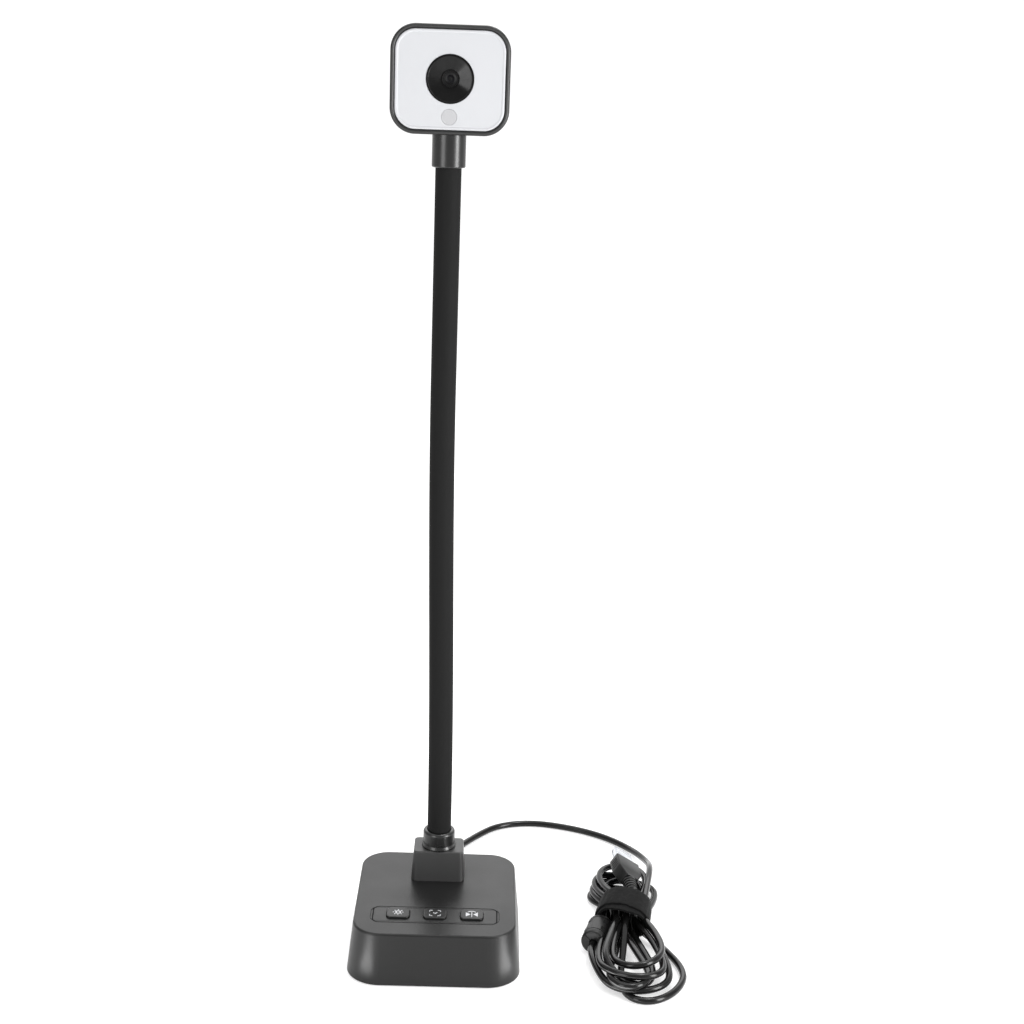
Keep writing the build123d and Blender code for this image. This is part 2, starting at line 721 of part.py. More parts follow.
def route_radii(route):
    """The largest arc that fits at each corner of a route."""
    radii = []
    for before, here, after in zip(route, route[1:], route[2:]):
        first = Vector(*here) - Vector(*before)
        second = Vector(*after) - Vector(*here)
        half_turn = math.radians(first.get_angle(second)) / 2
        radii.append(0.45 * min(first.length, second.length) / math.tan(half_turn))
    return radii


def make_cord():
    radii = route_radii(CORD_ROUTE)
    path = FilletPolyline(*CORD_ROUTE, radius=radii)
    section = Plane(path @ 0, z_dir=path % 0) * Circle(CORD_RADIUS)
    tube = sweep(section, path=path)
    expected = math.pi * CORD_RADIUS**2 * path.length
    print("cord radii", [round(radius, 1) for radius in radii])
    print("cord length", round(path.length, 1))
    print("cord volume", round(tube.volume, 1), "expected", round(expected, 1))
    return tube


def on_hank(shape):
    """Puts a shape drawn about the waist's middle where the hank lies."""
    x, y = HANK_WAIST
    return Pos(x, y, 0) * shape


def lobe(circles, height):
    """A flat lobe round a chain of circles, with rounded edges."""
    outline = make_hull(
        [edge for x, y, radius in circles for edge in (Pos(x, y) * Circle(radius)).edges()]
    )
    solid = extrude(outline, amount=height)
    solid = fillet(solid.faces().sort_by(Axis.Z)[-1].edges(), LOBE_EDGE)
    return fillet(solid.faces().sort_by(Axis.Z)[0].edges(), 1.2)


def make_hank():
    """The outer shape of the wound cord: two lobes and the waist that the strap holds."""
    back, front = LOBE_HEIGHTS
    reach = STRAP_WIDTH / 2
    upper = lobe([(0.5, reach + 12.0, 10.0), (0.5, 37.0, 22.5)], back)
    lower = lobe([(5.5, -reach - 12.0, 7.5), (6.0, -53.5, 22.0)], front)
    waist = RectangleRounded(
        STRAP_SPAN - 2 * STRAP_THICKNESS - 0.6,
        STRAP_TOP - 2 * STRAP_THICKNESS - 0.6,
        STRAP_CORNER - STRAP_THICKNESS - 0.3,
    )
    waist = extrude(waist, amount=reach, both=True)
    link = extrude(RectangleRounded(WAIST_LINK, WAIST_LINK, 2.0), amount=reach + 6.0, both=True)
    waist = Rot(0, 0, HANK_TURN) * Pos(0, 0, STRAP_TOP / 2) * Rot(90, 0, 0) * (waist + link)
    return on_hank(upper + lower + waist) - plug_room()


def make_strap():
    outer = RectangleRounded(STRAP_SPAN, STRAP_TOP, STRAP_CORNER)
    inner = RectangleRounded(
        STRAP_SPAN - 2 * STRAP_THICKNESS, STRAP_TOP - 2 * STRAP_THICKNESS, STRAP_CORNER - STRAP_THICKNESS
    )
    band = extrude(outer - inner, amount=STRAP_WIDTH / 2, both=True)
    band = Pos(0, 0, STRAP_TOP / 2) * Rot(90, 0, 0) * band
    return on_hank(Rot(0, 0, HANK_TURN) * band)


def make_ferrite():
    """The clip-on choke: a cylinder in two halves' outer shape, bored for the cord."""
    shell = Cylinder(FERRITE_RADIUS, FERRITE_LENGTH)
    shell = fillet(shell.edges().filter_by(GeomType.CIRCLE), FERRITE_EDGE)
    shell -= Cylinder(CORD_RADIUS + 0.3, FERRITE_LENGTH)
    x, y = FERRITE_CENTRE
    return Pos(x, y, FERRITE_RADIUS) * Rot(0, 0, FERRITE_TURN) * Rot(90, 0, 0) * shell


def plug_place(along):
    """A place on the plug's axis, along from the cord end of its strain relief, Y forward."""
    x, y, z = PLUG_CENTRE
    turn = Rot(0, 0, PLUG_TURN) * Rot(PLUG_RISE, 0, 0) * Rot(0, PLUG_ROLL, 0)
    return Pos(x, y, z) * turn * Pos(0, along, 0)


def plug_outline(air):
    """The moulding's outer shape, grown by air: relief, shoulder and body along the plug."""
    thin, thick = PLUG_RELIEF_RADII
    width, length, height = PLUG_BODY
    narrow, shoulder, low = PLUG_SHOULDER
    thin, thick, narrow, low = thin + air, thick + air, narrow + 2 * air, low + 2 * air
    width, height = width + 2 * air, height + 2 * air
    relief = turned([(0, -air), (thin, -air), (thick, PLUG_RELIEF), (0, PLUG_RELIEF)])
    wide = RectangleRounded(width, height, PLUG_CORNER)
    neck = Pos(0, 0, PLUG_RELIEF) * RectangleRounded(narrow, low, PLUG_CORNER)
    cone = loft([neck, Pos(0, 0, PLUG_RELIEF + shoulder) * wide])
    body = Pos(0, 0, PLUG_RELIEF + shoulder) * extrude(wide, amount=length + air)
    return plug_place(0) * Rot(-90, 0, 0) * (relief + cone + body)


def plug_room():
    """The space that the plug takes out of the wound cord, with a little air round it."""
    return plug_outline(PLUG_AIR)


def make_plug_body():
    return plug_outline(0)


def make_plug_shell():
    width, length, height = SHELL_OUTER
    shell = Box(width, length, height)
    cavity = Pos(0, SHELL_WALL, 0) * Box(width - 2 * SHELL_WALL, length, height - 2 * SHELL_WALL)
    tongue = Pos(0, 0, 0.9) * Box(width - 1.4, length - 2.0, 1.2)
    shell = shell - cavity + Pos(0, -1.0, 0) * tongue
    return plug_place(PLUG_RELIEF + PLUG_SHOULDER[1] + PLUG_BODY[1] + length / 2) * shell


# ---------------------------------------------------------------- write every piece
save("base_shell", make_base_shell())
save("bottom_plate", make_bottom_plate())
save("rubber_feet", *make_rubber_feet())
save("base_screws", *make_base_screws())
save("ballast_plate", make_ballast())
save("button_board", make_button_board())
save("tact_switches", *make_switches())
save("button_panel", make_button_panel())
for button_name, (button_x, button_y) in zip(BUTTON_NAMES, BUTTON_PLACES):
    save(button_name, Pos(button_x, button_y, 0) * make_button())
save("pedestal", make_pedestal())
save("neck_socket", make_neck_socket())
save("neck_nut", make_neck_nut())
save("strain_relief", make_strain_relief())

save("neck_tail", make_neck_tail())
save("neck_sleeve_00", make_neck_bottom_sleeve())
section_sleeve, section_core = make_neck_section()
for number, (low_hinge, high_hinge) in enumerate(zip(HINGE_HEIGHTS, HINGE_HEIGHTS[1:]), start=1):
    section_place = neck_place((low_hinge + high_hinge) / 2)
    save(f"neck_sleeve_{number:02d}", section_place * section_sleeve)
    save(f"neck_core_{number:02d}", section_place * section_core)
top_sleeve, top_core = make_neck_top()
save(f"neck_sleeve_{len(HINGE_KINDS):02d}", top_sleeve)
save("neck_top", top_core)

save("collar", make_collar())
save("head_front", make_head_front())
save("head_rear", make_head_rear())
save("head_screws", *make_head_screws())
save("light_panel", make_light_panel())
save("light_board", make_light_board())
save("leds", *make_leds())
save("sensor_window", make_sensor_window())
save("lens_ring", make_lens_ring())
save("lens_barrel", make_lens_barrel())
save("lens_glass", make_lens_glass())
save("lens_holder", make_lens_holder())
save("sensor_board", make_sensor_board())

save("usb_cord", make_cord())
save("cord_hank", make_hank())
save("cord_strap", make_strap())
save("ferrite_choke", make_ferrite())
save("plug_body", make_plug_body())
save("plug_shell", make_plug_shell())
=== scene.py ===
import math

import bmesh
import bpy
from mathutils import Matrix, Vector, noise


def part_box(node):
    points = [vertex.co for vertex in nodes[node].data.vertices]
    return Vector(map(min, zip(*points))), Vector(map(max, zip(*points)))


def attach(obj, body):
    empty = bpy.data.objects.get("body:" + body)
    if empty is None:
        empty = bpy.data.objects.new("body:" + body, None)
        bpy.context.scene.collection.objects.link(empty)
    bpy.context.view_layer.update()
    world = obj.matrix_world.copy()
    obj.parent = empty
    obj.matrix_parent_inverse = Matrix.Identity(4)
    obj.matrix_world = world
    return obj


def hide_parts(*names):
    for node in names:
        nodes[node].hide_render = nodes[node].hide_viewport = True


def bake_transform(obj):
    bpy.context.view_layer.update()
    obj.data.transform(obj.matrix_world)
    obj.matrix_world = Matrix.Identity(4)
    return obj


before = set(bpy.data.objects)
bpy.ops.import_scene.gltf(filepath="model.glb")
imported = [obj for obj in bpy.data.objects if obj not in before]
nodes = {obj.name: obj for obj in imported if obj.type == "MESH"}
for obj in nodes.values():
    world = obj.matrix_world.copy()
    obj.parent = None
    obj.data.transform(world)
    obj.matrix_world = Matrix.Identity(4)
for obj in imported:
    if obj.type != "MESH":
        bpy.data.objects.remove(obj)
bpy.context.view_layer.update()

scene = bpy.context.scene
MM = 0.001


# ---------------------------------------------------------------- camera
CAMERA_AT = Vector((0.0194, -0.7990, 0.4649))
CAMERA_PITCH = math.radians(15.34)
CAMERA_YAW = math.radians(1.03)
CAMERA_ROLL = math.radians(2.05)
CAMERA_LENS = 56.88
SENSOR_WIDTH = 36.0

camera_data = bpy.data.cameras.new("camera")
camera_data.sensor_width = SENSOR_WIDTH
camera_data.lens = CAMERA_LENS
camera_data.clip_start = 0.01
camera = bpy.data.objects.new("camera", camera_data)
scene.collection.objects.link(camera)
camera.matrix_world = (
    Matrix.Translation(CAMERA_AT)
    @ Matrix.Rotation(-CAMERA_YAW, 4, "Z")
    @ Matrix.Rotation(math.radians(90) - CAMERA_PITCH, 4, "X")
    @ Matrix.Rotation(CAMERA_ROLL, 4, "Z")
)
scene.camera = camera


# ---------------------------------------------------------------- meshes
def add_object(name, mesh):
    thing = bpy.data.objects.new(name, mesh)
    scene.collection.objects.link(thing)
    return thing


def finish_mesh(name, bm, sharp_from=30.0):
    """Turns a bmesh into an object whose faces are smooth except across sharp edges."""
    bmesh.ops.recalc_face_normals(bm, faces=bm.faces)
    mesh = bpy.data.meshes.new(name)
    bm.to_mesh(mesh)
    bm.free()
    for face in mesh.polygons:
        face.use_smooth = True
    mesh.set_sharp_from_angle(angle=math.radians(sharp_from))
    return add_object(name, mesh)


def frame_along(axis, side=Vector((1, 0, 0))):
    """A rotation whose Z runs along axis and whose X is as near side as it can be."""
    z = axis.normalized()
    x = (side - z * side.dot(z)).normalized()
    y = z.cross(x)
    return Matrix((x, y, z)).transposed().to_4x4()


def lathe(name, place, profile, count=64, sharp_from=30.0):
    """A surface turned about place's Z from (radius, height) points in millimetres."""
    bm = bmesh.new()
    rings = []
    for radius, height in profile:
        if radius < 1e-6:
            rings.append([bm.verts.new(place @ Vector((0, 0, height * MM)))])
            continue
        ring = []
        for step in range(count):
            angle = 2 * math.pi * step / count
            spot = Vector((radius * math.cos(angle), radius * math.sin(angle), height)) * MM
            ring.append(bm.verts.new(place @ spot))
        rings.append(ring)
    for low, high in zip(rings, rings[1:]):
        for step in range(count):
            after = (step + 1) % count
            corners = [low[step % len(low)], low[after % len(low)]]
            corners += [high[after % len(high)], high[step % len(high)]]
            unique = []
            for corner in corners:
                if corner not in unique:
                    unique.append(corner)
            if len(unique) > 2:
                bm.faces.new(unique)
    return finish_mesh(name, bm, sharp_from)


def rounded_outline(width, depth, corner, steps=6):
    """The corners of a rounded rectangle about the origin, anticlockwise, in millimetres."""
    outline = []
    for quarter, (sx, sy) in enumerate(((1, 1), (-1, 1), (-1, -1), (1, -1))):
        cx = sx * (width / 2 - corner)
        cy = sy * (depth / 2 - corner)
        for step in range(steps + 1):
            angle = math.pi / 2 * (quarter + step / steps)
            outline.append((cx + corner * math.cos(angle), cy + corner * math.sin(angle)))
    return outline


def loft(bm, rings, close_ends=True):
    """Faces between rings of vertices that all have the same count."""
    for low, high in zip(rings, rings[1:]):
        for step in range(len(low)):
            after = (step + 1) % len(low)
            bm.faces.new((low[step], low[after], high[after], high[step]))
    if close_ends:
        bm.faces.new(list(reversed(rings[0])))
        bm.faces.new(rings[-1])


# ---------------------------------------------------------------- materials
def grey(level):
    return (level, level, level, 1.0)


def plastic(name, colour, roughness, grain=900.0, grain_depth=0.12, mottle=0.12, spread=0.08,
            specular=0.5, sheen=0.0, coat=0.0, patch=45.0):
    """Moulded plastic or rubber: fine grain, soft mottling and slightly uneven gloss."""
    made = bpy.data.materials.new(name)
    made.use_nodes = True
    tree = made.node_tree
    shader = tree.nodes["Principled BSDF"]
    shader.inputs["Specular IOR Level"].default_value = specular
    shader.inputs["Sheen Weight"].default_value = sheen
    shader.inputs["Sheen Roughness"].default_value = 0.4
    shader.inputs["Coat Weight"].default_value = coat
    shader.inputs["Coat Roughness"].default_value = 0.15
    where = tree.nodes.new("ShaderNodeTexCoord")

    cloud = tree.nodes.new("ShaderNodeTexNoise")
    cloud.inputs["Scale"].default_value = patch
    cloud.inputs["Detail"].default_value = 6.0
    tree.links.new(where.outputs["Object"], cloud.inputs["Vector"])
    tint = tree.nodes.new("ShaderNodeMix")
    tint.data_type = "RGBA"
    tint.inputs["A"].default_value = tuple(c * (1 - mottle) for c in colour[:3]) + (1.0,)
    tint.inputs["B"].default_value = tuple(min(c * (1 + mottle), 1.0) for c in colour[:3]) + (1.0,)
    tree.links.new(cloud.outputs["Fac"], tint.inputs["Factor"])
    tree.links.new(tint.outputs["Result"], shader.inputs["Base Color"])

    fine = tree.nodes.new("ShaderNodeTexNoise")
    fine.inputs["Scale"].default_value = grain
    fine.inputs["Detail"].default_value = 3.0
    tree.links.new(where.outputs["Object"], fine.inputs["Vector"])
    gloss = tree.nodes.new("ShaderNodeMapRange")
    gloss.inputs["To Min"].default_value = max(roughness - spread, 0.02)
    gloss.inputs["To Max"].default_value = min(roughness + spread, 1.0)
    tree.links.new(cloud.outputs["Fac"], gloss.inputs["Value"])
    tree.links.new(gloss.outputs["Result"], shader.inputs["Roughness"])

    bump = tree.nodes.new("ShaderNodeBump")
    bump.inputs["Strength"].default_value = grain_depth
    bump.inputs["Distance"].default_value = 0.0002
    tree.links.new(fine.outputs["Fac"], bump.inputs["Height"])
    tree.links.new(bump.outputs["Normal"], shader.inputs["Normal"])
    return made


def metal(name, colour, roughness):
    """Bare metal with a faint grain and uneven gloss."""
    made = plastic(name, colour, roughness, grain_depth=0.05, mottle=0.06, spread=0.06)
    made.node_tree.nodes["Principled BSDF"].inputs["Metallic"].default_value = 1.0
    return made


MATERIALS = {
    "base_plastic": plastic("base_plastic", grey(0.009), 0.36, grain_depth=0.10, specular=0.27),
    "base_underside": plastic("base_underside", grey(0.022), 0.55, grain_depth=0.25),
    "foot_rubber": plastic("foot_rubber", grey(0.006), 0.85, grain_depth=0.4, specular=0.1),
    "screw_steel": metal("screw_steel", grey(0.38), 0.35),
    "ballast_steel": metal("ballast_steel", grey(0.32), 0.5),
    "circuit_board": plastic("circuit_board", (0.02, 0.11, 0.05, 1.0), 0.35),
    "switch_plastic": plastic("switch_plastic", grey(0.02), 0.4),
    "panel_plastic": plastic("panel_plastic", grey(0.012), 0.38, grain_depth=0.12, specular=0.28),
    "button_plastic": plastic("button_plastic", grey(0.006), 0.40, grain_depth=0.16, specular=0.35),
    "socket_plastic": plastic("socket_plastic", grey(0.004), 0.29, grain_depth=0.05),
    "fitting_steel": metal("fitting_steel", grey(0.40), 0.4),
    "core_steel": metal("core_steel", grey(0.45), 0.35),
    "neck_silicone": plastic(
        "neck_silicone", grey(0.0075), 0.72, grain=1400.0, grain_depth=0.18, specular=0.10
    ),
    "head_plastic": plastic("head_plastic", grey(0.007), 0.34, grain_depth=0.10, specular=0.34),
    "diffuser": plastic(
        "diffuser", (0.418, 0.423, 0.437, 1.0), 0.35, grain_depth=0.03, mottle=0.01, spread=0.04
    ),
    "light_board": plastic("light_board", grey(0.70), 0.5),
    "led": plastic("led", (0.75, 0.68, 0.35, 1.0), 0.4),
    "sensor_window": plastic(
        "sensor_window", (0.345, 0.345, 0.355, 1.0), 0.30, grain_depth=0.03, mottle=0.02
    ),
    "lens_ring": plastic("lens_ring", grey(0.001), 0.16, grain_depth=0.03, specular=0.28, spread=0.03),
    "lens_barrel": plastic("lens_barrel", grey(0.002), 0.35, grain_depth=0.04, specular=0.2),
    "lens_glass": plastic(
        "lens_glass", (0.004, 0.004, 0.005, 1.0), 0.12, grain_depth=0.0, spread=0.02, specular=0.14
    ),
    "cord_pvc": plastic(
        "cord_pvc", grey(0.004), 0.19, grain=1500.0, grain_depth=0.05, spread=0.04, specular=0.27
    ),
    "strap_fabric": plastic(
        "strap_fabric", grey(0.005), 0.95, grain=520.0, grain_depth=1.0, mottle=0.7, specular=0.09,
        sheen=0.05, patch=240.0
    ),
    "ferrite_case": plastic("ferrite_case", grey(0.008), 0.40, grain_depth=0.16, specular=0.3),
    "plug_plastic": plastic("plug_plastic", grey(0.008), 0.38, grain_depth=0.20, specular=0.24),
    "plug_steel": metal("plug_steel", (0.62, 0.64, 0.68, 1.0), 0.22),
}


def finish_with(thing, slot):
    """Gives a new piece the material of the record's slot that it comes from."""
    thing.data.materials.clear()
    thing.data.materials.append(MATERIALS[slot])
    return thing


for node in nodes.values():
    for holder in node.material_slots:
        base = holder.material.name.split(".")[0]
        if base in MATERIALS:
            holder.material = MATERIALS[base]


pedestal_plastic = plastic("pedestal_plastic", grey(0.030), 0.36, grain_depth=0.10, specular=0.35)
for holder in nodes["pedestal"].material_slots:
    holder.material = pedestal_plastic


# ---------------------------------------------------------------- signs printed on the buttons
BUTTON_TOP = 29.9
PRINT_RISE = 0.06


def bar(start, end, width):
    """The corners of a straight bar between two points of a flat drawing."""
    start, end = Vector(start), Vector(end)
    side = (end - start).normalized().orthogonal() * width / 2
    return [start + side, end + side, end - side, start - side]


def arc(centre, radius, width, first, last, steps):
    """A curved stroke as short pieces, between two angles in degrees."""
    pieces = []
    for step in range(steps):
        corners = []
        for reach, share in ((-1, step), (1, step), (1, step + 1), (-1, step + 1)):
            angle = math.radians(first + (last - first) * share / steps)
            size = radius + reach * width / 2
            corners.append(Vector(centre) + Vector((math.cos(angle), math.sin(angle))) * size)
        pieces.append(corners)
    return pieces


def light_sign():
    """A small sun: a ring with eight rays."""
    strokes = arc((0, 0), 1.25, 0.7, 0, 360, 24)
    for ray in range(8):
        way = Vector((math.cos(math.pi * ray / 4), math.sin(math.pi * ray / 4)))
        strokes.append(bar(way * 2.1, way * 2.85, 0.5))
    return strokes


def focus_sign():
    """Four corner brackets round a tick."""
    strokes = [bar((-0.9, 0.5), (0, -0.6), 0.6), bar((-0.1, -0.7), (1.1, 0.7), 0.6)]
    for sx in (-1, 1):
        for sy in (-1, 1):
            corner = Vector((3.1 * sx, 3.1 * sy))
            flat = (corner - Vector((0, 0.25 * sy)), corner - Vector((1.7 * sx, 0.25 * sy)))
            upright = (corner - Vector((0.25 * sx, 0)), corner - Vector((0.25 * sx, 1.6 * sy)))
            strokes.append(bar(*flat, 0.5))
            strokes.append(bar(*upright, 0.5))
    return strokes


def mirror_sign():
    """Two triangles facing each other across a line, under an arch."""
    strokes = [bar((0, -3.2), (0, 2.0), 0.35)]
    for sx in (-1, 1):
        strokes.append([Vector((3.2 * sx, -2.6)), Vector((3.2 * sx, 1.6)), Vector((0.7 * sx, -0.5))])
    return strokes + arc((0, 0.4), 2.5, 0.5, 35, 145, 10)


def print_sign(name, button, strokes):
    """Thin raised print on a button, riding on it."""
    low, high = (Vector(corner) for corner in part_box(button))
    bm = bmesh.new()
    centre = (low + high) / 2
    for stroke in strokes:
        rings = []
        for height in (BUTTON_TOP - 0.02, BUTTON_TOP + PRINT_RISE):
            rings.append([
                bm.verts.new((centre.x + spot.x * MM, centre.y + spot.y * MM, height * MM))
                for spot in stroke
            ])
        loft(bm, rings)
    sign = finish_with(finish_mesh(name, bm, 20), "diffuser")
    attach(sign, button)
    return sign


print_sign("light_button_sign", "light_button", light_sign())
print_sign("focus_button_sign", "focus_button", focus_sign())
print_sign("mirror_button_sign", "mirror_button", mirror_sign())


# ---------------------------------------------------------------- painted shade in the groove round the button panel
PANEL_MIDDLE = Vector((0.0, -25.3, 28.8))


def panel_shade_line(name, size, corner, width, rise, slot):
    """Painted shade round the panel: a thin dark line on the base's top, as a slim closed strip."""
    bm = bmesh.new()
    rings = []
    for grow, height in ((0, -0.05), (0, rise), (width, rise), (width, -0.05), (0, -0.05)):
        outline = rounded_outline(size[0] + 2 * grow, size[1] + 2 * grow, corner + grow, 8)
        rings.append([
            bm.verts.new((PANEL_MIDDLE + Vector((x, y, height))) * MM) for x, y in outline
        ])
    loft(bm, rings, close_ends=False)
    bmesh.ops.remove_doubles(bm, verts=bm.verts, dist=1e-7)
    line = finish_with(finish_mesh(name, bm, 30), slot)
    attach(line, "base")
    return line


# Painted shade in the gap round the panel, and the painted shadow of the shallow recess's wall beyond
# it: dark strips on the base's top.
panel_shade_line("panel_groove_painted_shade", (65.2, 15.8), 3.1, 0.62, 0.02, "foot_rubber")
panel_shade_line("panel_recess_painted_shadow", (68.2, 13.6), 3.4, 0.22, 0.012, "foot_rubber")


# ---------------------------------------------------------------- head's face
HEAD_FRONT = 13.4
HEAD_MIDDLE = Vector((-3.5, HEAD_FRONT, 458.15))
HEAD_SIZE = (58.5, 52.1)
HEAD_CORNER = 12.5
LENS_MIDDLE = Vector((-3.5, HEAD_FRONT, 458.65))
LENS_GROOVES = 15


def face_ring(name, slot, sections, sharp_from=30.0):
    """A bead round the head's face: (inset, towards the front) pairs across the bead."""
    bm = bmesh.new()
    rings = []
    for inset, forward in sections:
        outline = rounded_outline(
            HEAD_SIZE[0] - 2 * inset, HEAD_SIZE[1] - 2 * inset, HEAD_CORNER - inset, 12
        )
        rings.append([
            bm.verts.new((HEAD_MIDDLE + Vector((x, -forward, z))) * MM) for x, z in outline
        ])
    loft(bm, rings, close_ends=False)
    bead = finish_with(finish_mesh(name, bm, sharp_from), slot)
    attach(bead, "head")
    return bead


face_ring("head_rim_bead", "head_plastic", [
    (0.12, -0.4), (0.20, 0.10), (0.45, 0.42), (0.80, 0.62), (1.18, 0.70), (1.56, 0.62),
    (1.92, 0.42), (2.18, 0.10), (2.26, -0.4),
], 60)
# A lighter band of the head's plastic along the crest of the rim: a painted highlight.
rim_painted_highlight = face_ring("head_rim_painted_highlight", "head_plastic", [
    (0.72, 0.55), (0.78, 0.64), (1.18, 0.76), (1.58, 0.64), (1.64, 0.55),
], 60)
rim_painted_highlight.data.materials[0] = plastic("rim_highlight_paint", grey(0.014), 0.40, grain_depth=0.10)
face_ring("light_panel_edge", "diffuser", [
    (2.44, -0.2), (2.48, 0.28), (2.75, 0.50), (3.20, 0.56), (3.60, 0.50), (3.95, 0.27),
], 60)


def lens_ring_profile():
    """Across the lens surround, from its back edge, over the rim and down the ringed cone."""
    profile = [(11.7, 7.0), (11.7, -0.35), (11.5, -0.56), (11.15, -0.58), (11.08, -0.30)]
    profile += [(10.98, -0.30), (10.92, -0.52), (10.78, -0.58), (10.62, -0.50), (10.55, -0.2)]
    for groove in range(LENS_GROOVES):
        share = groove / LENS_GROOVES
        radius, depth = 10.5 - 6.1 * share, -0.1 + 5.1 * share
        profile += [(radius, depth), (radius - 0.355, depth + 0.147)]
    return profile + [(4.4, 5.0), (3.98, 5.02), (3.98, 7.0)]


lens_place = Matrix.Translation(LENS_MIDDLE * MM) @ frame_along(Vector((0, 1, 0)))
lens_surround = finish_with(lathe("lens_surround", lens_place, lens_ring_profile(), 96, 25), "lens_ring")
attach(lens_surround, "head")
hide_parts("lens_ring")

lens_stop = finish_with(lathe("lens_stop", lens_place, [
    (3.86, 4.60), (3.86, 4.02), (3.78, 3.95), (3.62, 4.02), (3.56, 4.16), (3.42, 4.16), (3.34, 4.34),
    (3.20, 4.36), (2.15, 4.62), (2.02, 4.70), (1.98, 5.20),
], 72, 20), "lens_barrel")
lens_front = lathe("lens_front_element", lens_place, [
    (1.98, 5.02), (1.80, 4.93), (1.50, 4.86), (1.20, 4.82), (0.92, 4.80),
], 72, 40)
finish_with(lens_front, "lens_glass")
lens_pupil = finish_with(lathe("lens_pupil", lens_place, [
    (0.92, 4.79), (0.88, 4.86), (0.50, 4.95), (0.0, 4.98),
], 48, 40), "lens_barrel")
for piece in (lens_stop, lens_front, lens_pupil):
    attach(piece, "lens")
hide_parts("lens_glass")


# ---------------------------------------------------------------- cord
CORD_DIAMETER = 0.0038
CORD_ROUTE = [
    (0.0, 0.0632, 0.008),
    (0.0003, 0.0735, 0.0073),
    (0.003, 0.088, 0.0042),
    (0.009, 0.104, 0.0021),
    (0.020, 0.1205, 0.002),
    (0.034, 0.1366, 0.0021),
    (0.056, 0.1423, 0.002),
    (0.080, 0.1363, 0.0021),
    (0.1015, 0.1252, 0.002),
    (0.118, 0.1075, 0.0021),
    (0.1246, 0.084, 0.0066),
    (0.1238, 0.064, 0.0134),
    (0.1206, 0.045, 0.0146),
    (0.1169, 0.0244, 0.0143),
]

STRAP_AT = Vector((106.0, 17.5, 0.0))
STRAP_TURN = math.radians(-15.0)
STRAP_ACROSS = Vector((math.cos(STRAP_TURN), math.sin(STRAP_TURN), 0.0))
STRAP_ALONG = Vector((-math.sin(STRAP_TURN), math.cos(STRAP_TURN), 0.0))
STRAP_REACH = 9.0
STRAP_HALF_WIDTH = 13.5
STRAP_HALF_HEIGHT = 9.2
STRAP_MIDDLE_HEIGHT = 10.4
STRAP_HALF_THICKNESS = 0.7
STRAP_SQUARENESS = 2.3
STRAP_STEPS = 170

FERRITE_AT = Vector((88.9, -2.2, 7.0))
FERRITE_ALONG = Vector((0.276, 0.961, 0.0))
FERRITE_UP = Vector((0.50, -0.14, 0.85))
FERRITE_LATCH_SIDE = Vector((0.72, -0.2, -0.66))
FERRITE_RADIUS = 7.0
FERRITE_BORE = 2.35

PLUG_AT = Vector((110.3, 30.4, 15.4))
PLUG_TURN, PLUG_RISE, PLUG_ROLL = 4.3, 3.0, -32.4

# The hank's loops in the order that the cord makes them, in millimetres: the side of the strap,
# where the loop is widest going out, its tip, where it is widest coming back, and how soon it
# spreads once it has left the strap.
LOOPS = [
    (-1, (121.6, -27, 14.0), (108.4, -44.5, 13.6), (95.6, -29, 10.4), 0.72),
    (+1, (93.4, 55, 11.4), (106.4, 72.0, 10.0), (119.8, 55, 11.6), 0.72),
    (-1, (116.6, -35, 6.0), (104.2, -51.0, 6.6), (91.2, -31, 12.6), 0.45),
    (+1, (90.8, 52, 8.0), (103.4, 67, 6.2), (118.5, 49, 5.2), 0.72),
    (-1, (113.8, -42.5, 8.4), (103.4, -56.2, 8.0), (92.6, -44, 8.0), 0.35),
    (+1, (96.0, 50, 5.4), (106.4, 62.0, 6.0), (116.4, 50, 7.8), 0.72),
    (-1, (121.6, -38, 9.8), (105.5, -51.4, 11.2), (88.0, -34, 9.4), 0.72),
    (+1, (89.6, 49, 6.0), (106, 67, 2.6), (125.4, 54, 3.6), 0.72),
    (-1, (125.0, -39, 5.4), (108.0, -53.6, 4.0), (89.4, -42, 5.4), 0.72),
    (+1, (88.0, 46, 2.2), (102.6, 59.4, 2.0), (121.6, 45, 2.0), 0.2),
    (-1, (134.0, -30, 2.0), (116, -58.8, 2.0), (99.5, -43, 2.0), 0.72),
]

# Where the cord passes through the strap: (across, height) at its lower and its upper mouth.
PASSES = [
    ((10.0, 13.4), (8.6, 14.4)),
    ((1.8, 11.2), (-7.4, 14.6)),
    ((3.2, 6.8), (3.6, 11.4)),
    ((-2.5, 14.0), (-10.0, 11.6)),
    ((-1.2, 7.6), (2.6, 7.6)),
    ((-0.4, 3.9), (-5.4, 10.0)),
    ((6.0, 10.8), (8.4, 10.4)),
    ((-6.2, 9.6), (-10.4, 7.6)),
    ((10.2, 9.4), (9.2, 6.6)),
    ((-10.4, 5.8), (-11.6, 3.6)),
    ((9.8, 5.2), (5.4, 4.2)),
    ((1.5, 15.0), (0.8, 15.2)),
]
FERRITE_PASS = 8

# The widest loop lies apart from the others, so it has its own points beside the strap.
WIDE_PASS = 10
WIDE_GOING_OUT = Vector((122.6, -3.0, 2.8))
WIDE_COMING_BACK = Vector((102.5, -16.0, 8.0))

# How far the control points stand outside the loop that they draw.
LOOP_SWELL = 1.07
POINTS_ROUND_TIP = 5


def at_strap(across, along, height):
    return STRAP_AT + STRAP_ACROSS * across + STRAP_ALONG * along + Vector((0, 0, height))


def toward(start, end, spread):
    """A point on the way from the strap to a loop's widest place."""
    gap = end - start
    return start + Vector((spread * gap.x, 0.42 * gap.y, 0.5 * gap.z))


